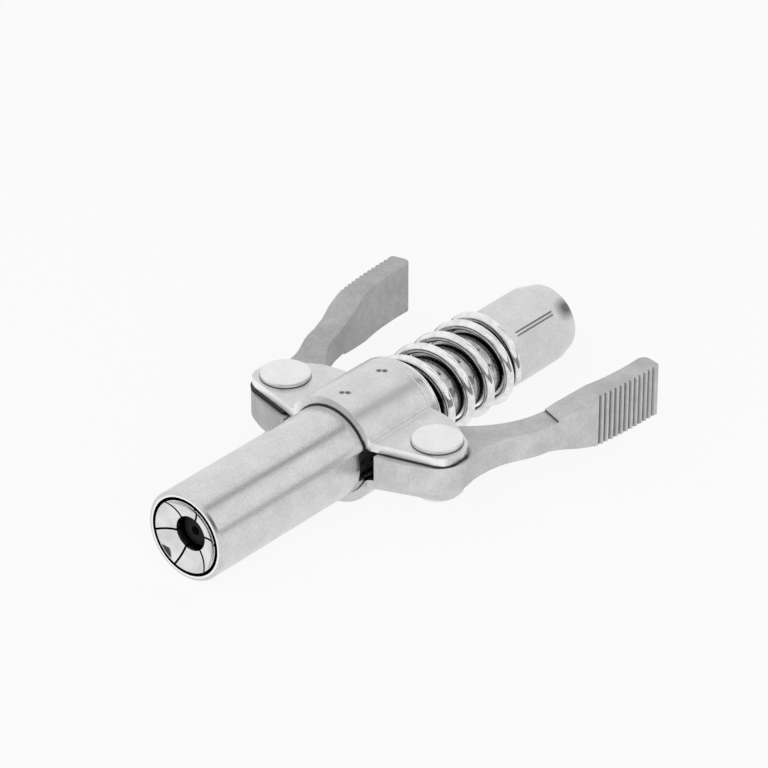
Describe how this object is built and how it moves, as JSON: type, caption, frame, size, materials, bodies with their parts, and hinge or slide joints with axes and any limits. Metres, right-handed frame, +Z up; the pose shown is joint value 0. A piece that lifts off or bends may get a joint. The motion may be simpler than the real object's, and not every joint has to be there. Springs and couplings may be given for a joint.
{
  "type": "grease coupler",
  "caption": "Lever-operated grease coupler: sprung sleeve over gripping jaws, serrated thumb levers and a hex inlet with a check valve; no hose.",
  "frame": {"origin": "centre of the inlet thread's mouth, at the hex's rear face", "axes": "+Y along the axis and out of the inlet, so the nose with its jaws points to -Y; +Z up through the arch of the upper wing plate; +X towards the right lever"},
  "size_m": [0.067, 0.1055, 0.0218],
  "materials": {
    "barrel_plating": "satin plated, soft lengthwise reflections",
    "plate_plating": "satin plated, fine tumbling marks",
    "rivet_steel": "bright satin",
    "forged_steel": "grit blasted",
    "spring_wire": "bright drawn",
    "small_spring_wire": "bright drawn",
    "polished_steel": "turned and polished, hex plated satin",
    "jaw_steel": "polished, plated",
    "carrier_steel": "turned",
    "valve_steel": "ground",
    "black_rubber": "matt, moulded"
  },
  "bodies": {
    "inlet": {"inlet_body": "polished_steel", "jaw_carrier": "carrier_steel", "tip_o_ring": "black_rubber", "check_seat": "valve_steel", "tail_ring": "black_rubber", "main_spring": "spring_wire", "check_spring": "small_spring_wire", "seal_spring": "small_spring_wire"},
    "sleeve": {"outer_sleeve": "barrel_plating", "spring_flange": "barrel_plating", "upper_wing_plate": "plate_plating", "lower_wing_plate": "plate_plating", "right_pivot_rivet": "rivet_steel", "left_pivot_rivet": "rivet_steel"},
    "right_lever": {"right_lever": "forged_steel"},
    "left_lever": {"left_lever": "forged_steel"},
    "jaw_1": {"jaw_1": "jaw_steel"},
    "jaw_2": {"jaw_2": "jaw_steel"},
    "jaw_3": {"jaw_3": "jaw_steel"},
    "jaw_4": {"jaw_4": "jaw_steel"},
    "jaw_5": {"jaw_5": "jaw_steel"},
    "jaw_6": {"jaw_6": "jaw_steel"},
    "seal": {"nozzle_seal": "black_rubber", "seal_follower": "valve_steel"},
    "check_ball": {"check_ball": "valve_steel"}
  },
  "joints": [
    {"name": "sleeve_slide", "type": "slide", "parent": "inlet", "child": "sleeve", "axis": [0, 1, 0], "range_m": [0, 0.004], "stiffness_N_per_m": 7500, "springref_m": -0.0095, "deforming": ["main_spring"]},
    {"name": "right_lever_hinge", "type": "hinge", "parent": "sleeve", "child": "right_lever", "pos_m": [0.0188, -0.0564, 0], "axis": [0, 0, 1], "range_deg": [0, 19.9]},
    {"name": "left_lever_hinge", "type": "hinge", "parent": "sleeve", "child": "left_lever", "pos_m": [-0.0188, -0.0564, 0], "axis": [0, 0, -1], "range_deg": [0, 19.9]},
    {"name": "jaw_1_hinge", "type": "hinge", "parent": "inlet", "child": "jaw_1", "pos_m": [0.00389, -0.0885, 0.00315], "axis": [-0.6293, 0, 0.7771], "range_deg": [0, 4]},
    {"name": "jaw_2_hinge", "type": "hinge", "parent": "inlet", "child": "jaw_2", "pos_m": [-0.00078, -0.0885, 0.00494], "axis": [-0.9877, 0, -0.1564], "range_deg": [0, 4]},
    {"name": "jaw_3_hinge", "type": "hinge", "parent": "inlet", "child": "jaw_3", "pos_m": [-0.00467, -0.0885, 0.00179], "axis": [-0.3584, 0, -0.9336], "range_deg": [0, 4]},
    {"name": "jaw_4_hinge", "type": "hinge", "parent": "inlet", "child": "jaw_4", "pos_m": [-0.00389, -0.0885, -0.00315], "axis": [0.6293, 0, -0.7771], "range_deg": [0, 4]},
    {"name": "jaw_5_hinge", "type": "hinge", "parent": "inlet", "child": "jaw_5", "pos_m": [0.00078, -0.0885, -0.00494], "axis": [0.9877, 0, 0.1564], "range_deg": [0, 4]},
    {"name": "jaw_6_hinge", "type": "hinge", "parent": "inlet", "child": "jaw_6", "pos_m": [0.00467, -0.0885, -0.00179], "axis": [0.3584, 0, 0.9336], "range_deg": [0, 4]},
    {"name": "seal_slide", "type": "slide", "parent": "inlet", "child": "seal", "axis": [0, 1, 0], "range_m": [0, 0.003], "stiffness_N_per_m": 3000, "springref_m": -0.002, "deforming": ["seal_spring"]},
    {"name": "check_ball_slide", "type": "slide", "parent": "inlet", "child": "check_ball", "axis": [0, -1, 0], "range_m": [0, 0.0012], "stiffness_N_per_m": 2000, "springref_m": -0.001, "deforming": ["check_spring"]}
  ],
  "couplings": [
    {"joint": "right_lever_hinge", "follows": "sleeve_slide", "rad_per_m": 86.64},
    {"joint": "left_lever_hinge", "follows": "sleeve_slide", "rad_per_m": 86.64},
    {"joint": "jaw_1_hinge", "follows": "sleeve_slide", "rad_per_m": 17.45},
    {"joint": "jaw_2_hinge", "follows": "sleeve_slide", "rad_per_m": 17.45},
    {"joint": "jaw_3_hinge", "follows": "sleeve_slide", "rad_per_m": 17.45},
    {"joint": "jaw_4_hinge", "follows": "sleeve_slide", "rad_per_m": 17.45},
    {"joint": "jaw_5_hinge", "follows": "sleeve_slide", "rad_per_m": 17.45},
    {"joint": "jaw_6_hinge", "follows": "sleeve_slide", "rad_per_m": 17.45}
  ]
}
